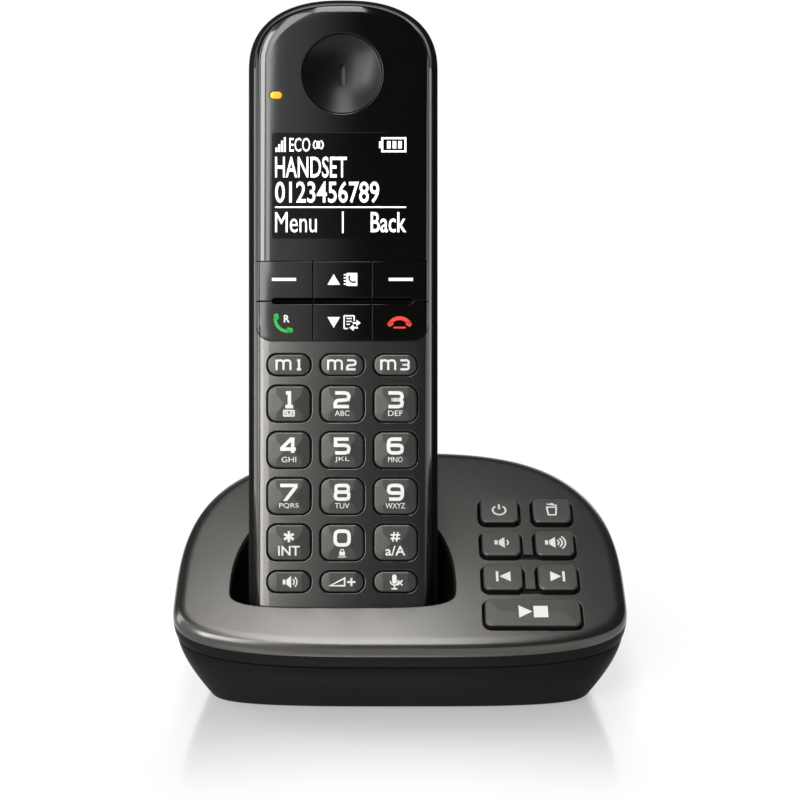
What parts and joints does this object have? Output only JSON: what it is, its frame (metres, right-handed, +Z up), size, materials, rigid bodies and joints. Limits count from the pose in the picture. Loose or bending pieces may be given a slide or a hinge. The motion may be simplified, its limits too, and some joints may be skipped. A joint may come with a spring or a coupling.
{
  "type": "cordless telephone",
  "caption": "Cordless telephone standing in a rounded charging base with answering machine keys; the handset lifts out, keys press, rockers tip and the battery cover pulls off.",
  "frame": {"origin": "middle of the footprint box on the desk", "axes": "+X to the right as seen from the front, +Y from front to back, +Z up"},
  "size_m": [0.1184, 0.0912, 0.1747],
  "materials": {
    "grey_shell": "satin metallic",
    "grey_keys": "satin",
    "black_shell": "satin",
    "black_gloss": "gloss",
    "amber_lens": "gloss",
    "display": "gloss",
    "key_rubber": "matte",
    "board": "satin",
    "steel": "satin",
    "cell_can": "satin",
    "contact_plate": "polished",
    "socket_plastic": "matte",
    "foot_rubber": "matte"
  },
  "bodies": {
    "base": {"base_upper_shell": "grey_shell", "base_lower_shell": "black_shell", "cradle_liner": "black_gloss", "contact_block": "socket_plastic", "base_keymat": "key_rubber", "key_board": "board", "main_board": "board", "line_socket": "socket_plastic", "power_socket": "socket_plastic", "base_loudspeaker": "steel", "rubber_feet": "foot_rubber", "base_screws": "steel"},
    "handset": {"handset_front_shell": "grey_shell", "handset_rear_shell": "black_shell", "display_window": "black_gloss", "earpiece_cup": "black_shell", "earpiece_receiver": "steel", "event_light": "amber_lens", "display_module": "display", "handset_keymat": "key_rubber", "handset_board": "board", "microphone": "cell_can", "ringer": "steel", "battery_cells": "cell_can", "battery_contacts": "steel", "handset_contacts": "contact_plate", "handset_screws": "steel"},
    "battery_cover": {"battery_cover": "black_shell"},
    "m1_key": {"m1_key": "grey_keys"},
    "m2_key": {"m2_key": "grey_keys"},
    "m3_key": {"m3_key": "grey_keys"},
    "digit_1_key": {"digit_1_key": "grey_keys"},
    "digit_2_key": {"digit_2_key": "grey_keys"},
    "digit_3_key": {"digit_3_key": "grey_keys"},
    "digit_4_key": {"digit_4_key": "grey_keys"},
    "digit_5_key": {"digit_5_key": "grey_keys"},
    "digit_6_key": {"digit_6_key": "grey_keys"},
    "digit_7_key": {"digit_7_key": "grey_keys"},
    "digit_8_key": {"digit_8_key": "grey_keys"},
    "digit_9_key": {"digit_9_key": "grey_keys"},
    "star_key": {"star_key": "grey_keys"},
    "digit_0_key": {"digit_0_key": "grey_keys"},
    "hash_key": {"hash_key": "grey_keys"},
    "handsfree_key": {"handsfree_key": "grey_keys"},
    "boost_key": {"boost_key": "grey_keys"},
    "mute_key": {"mute_key": "grey_keys"},
    "left_soft_key": {"left_soft_key": "black_gloss"},
    "up_key": {"up_key": "black_gloss"},
    "right_soft_key": {"right_soft_key": "black_gloss"},
    "talk_key": {"talk_key": "black_gloss"},
    "down_key": {"down_key": "black_gloss"},
    "end_key": {"end_key": "black_gloss"},
    "power_key": {"power_key": "grey_keys"},
    "delete_key": {"delete_key": "grey_keys"},
    "play_key": {"play_key": "grey_keys"},
    "volume_rocker": {"volume_rocker": "grey_keys"},
    "skip_rocker": {"skip_rocker": "grey_keys"},
    "left_pin": {"left_pin": "contact_plate"},
    "right_pin": {"right_pin": "contact_plate"}
  },
  "joints": [
    {"name": "handset_lift", "type": "slide", "parent": "base", "child": "handset", "axis": [0, 0.3584, 0.9336], "range_m": [0, 0.08]},
    {"name": "battery_cover_pull", "type": "slide", "parent": "handset", "child": "battery_cover", "axis": [0, 0.9336, -0.3584], "range_m": [0, 0.015]},
    {"name": "m1_press", "type": "slide", "parent": "handset", "child": "m1_key", "axis": [0, 0.9336, -0.3584], "range_m": [0, 0.0007], "stiffness_N_per_m": 400},
    {"name": "m2_press", "type": "slide", "parent": "handset", "child": "m2_key", "axis": [0, 0.9336, -0.3584], "range_m": [0, 0.0007], "stiffness_N_per_m": 400},
    {"name": "m3_press", "type": "slide", "parent": "handset", "child": "m3_key", "axis": [0, 0.9336, -0.3584], "range_m": [0, 0.0007], "stiffness_N_per_m": 400},
    {"name": "digit_1_press", "type": "slide", "parent": "handset", "child": "digit_1_key", "axis": [0, 0.9336, -0.3584], "range_m": [0, 0.0007], "stiffness_N_per_m": 400},
    {"name": "digit_2_press", "type": "slide", "parent": "handset", "child": "digit_2_key", "axis": [0, 0.9336, -0.3584], "range_m": [0, 0.0007], "stiffness_N_per_m": 400},
    {"name": "digit_3_press", "type": "slide", "parent": "handset", "child": "digit_3_key", "axis": [0, 0.9336, -0.3584], "range_m": [0, 0.0007], "stiffness_N_per_m": 400},
    {"name": "digit_4_press", "type": "slide", "parent": "handset", "child": "digit_4_key", "axis": [0, 0.9336, -0.3584], "range_m": [0, 0.0007], "stiffness_N_per_m": 400},
    {"name": "digit_5_press", "type": "slide", "parent": "handset", "child": "digit_5_key", "axis": [0, 0.9336, -0.3584], "range_m": [0, 0.0007], "stiffness_N_per_m": 400},
    {"name": "digit_6_press", "type": "slide", "parent": "handset", "child": "digit_6_key", "axis": [0, 0.9336, -0.3584], "range_m": [0, 0.0007], "stiffness_N_per_m": 400},
    {"name": "digit_7_press", "type": "slide", "parent": "handset", "child": "digit_7_key", "axis": [0, 0.9336, -0.3584], "range_m": [0, 0.0007], "stiffness_N_per_m": 400},
    {"name": "digit_8_press", "type": "slide", "parent": "handset", "child": "digit_8_key", "axis": [0, 0.9336, -0.3584], "range_m": [0, 0.0007], "stiffness_N_per_m": 400},
    {"name": "digit_9_press", "type": "slide", "parent": "handset", "child": "digit_9_key", "axis": [0, 0.9336, -0.3584], "range_m": [0, 0.0007], "stiffness_N_per_m": 400},
    {"name": "star_press", "type": "slide", "parent": "handset", "child": "star_key", "axis": [0, 0.9336, -0.3584], "range_m": [0, 0.0007], "stiffness_N_per_m": 400},
    {"name": "digit_0_press", "type": "slide", "parent": "handset", "child": "digit_0_key", "axis": [0, 0.9336, -0.3584], "range_m": [0, 0.0007], "stiffness_N_per_m": 400},
    {"name": "hash_press", "type": "slide", "parent": "handset", "child": "hash_key", "axis": [0, 0.9336, -0.3584], "range_m": [0, 0.0007], "stiffness_N_per_m": 400},
    {"name": "handsfree_press", "type": "slide", "parent": "handset", "child": "handsfree_key", "axis": [0, 0.9336, -0.3584], "range_m": [0, 0.0007], "stiffness_N_per_m": 400},
    {"name": "boost_press", "type": "slide", "parent": "handset", "child": "boost_key", "axis": [0, 0.9336, -0.3584], "range_m": [0, 0.0007], "stiffness_N_per_m": 400},
    {"name": "mute_press", "type": "slide", "parent": "handset", "child": "mute_key", "axis": [0, 0.9336, -0.3584], "range_m": [0, 0.0007], "stiffness_N_per_m": 400},
    {"name": "left_soft_press", "type": "slide", "parent": "handset", "child": "left_soft_key", "axis": [0, 0.9336, -0.3584], "range_m": [0, 0.0005], "stiffness_N_per_m": 400},
    {"name": "up_press", "type": "slide", "parent": "handset", "child": "up_key", "axis": [0, 0.9336, -0.3584], "range_m": [0, 0.0005], "stiffness_N_per_m": 400},
    {"name": "right_soft_press", "type": "slide", "parent": "handset", "child": "right_soft_key", "axis": [0, 0.9336, -0.3584], "range_m": [0, 0.0005], "stiffness_N_per_m": 400},
    {"name": "talk_press", "type": "slide", "parent": "handset", "child": "talk_key", "axis": [0, 0.9336, -0.3584], "range_m": [0, 0.0005], "stiffness_N_per_m": 400},
    {"name": "down_press", "type": "slide", "parent": "handset", "child": "down_key", "axis": [0, 0.9336, -0.3584], "range_m": [0, 0.0005], "stiffness_N_per_m": 400},
    {"name": "end_press", "type": "slide", "parent": "handset", "child": "end_key", "axis": [0, 0.9336, -0.3584], "range_m": [0, 0.0005], "stiffness_N_per_m": 400},
    {"name": "power_press", "type": "slide", "parent": "base", "child": "power_key", "axis": [0, 0.3355, -0.9421], "range_m": [0, 0.0008], "stiffness_N_per_m": 400},
    {"name": "delete_press", "type": "slide", "parent": "base", "child": "delete_key", "axis": [0, 0.3355, -0.9421], "range_m": [0, 0.0008], "stiffness_N_per_m": 400},
    {"name": "play_press", "type": "slide", "parent": "base", "child": "play_key", "axis": [0, 0.3355, -0.9421], "range_m": [0, 0.0008], "stiffness_N_per_m": 400},
    {"name": "volume_tip", "type": "hinge", "parent": "base", "child": "volume_rocker", "pos_m": [0.03422, -0.01133, 0.03335], "axis": [0, 0.9421, 0.3355], "range_deg": [-3, 3], "stiffness_Nm_per_rad": 0.13},
    {"name": "skip_tip", "type": "hinge", "parent": "base", "child": "skip_rocker", "pos_m": [0.03422, -0.02311, 0.02916], "axis": [0, 0.9421, 0.3355], "range_deg": [-3, 3], "stiffness_Nm_per_rad": 0.13},
    {"name": "left_pin_plunge", "type": "slide", "parent": "base", "child": "left_pin", "axis": [0, 0.3584, 0.9336], "range_m": [-0.0012, 0], "stiffness_N_per_m": 200},
    {"name": "right_pin_plunge", "type": "slide", "parent": "base", "child": "right_pin", "axis": [0, 0.3584, 0.9336], "range_m": [-0.0012, 0], "stiffness_N_per_m": 200}
  ]
}
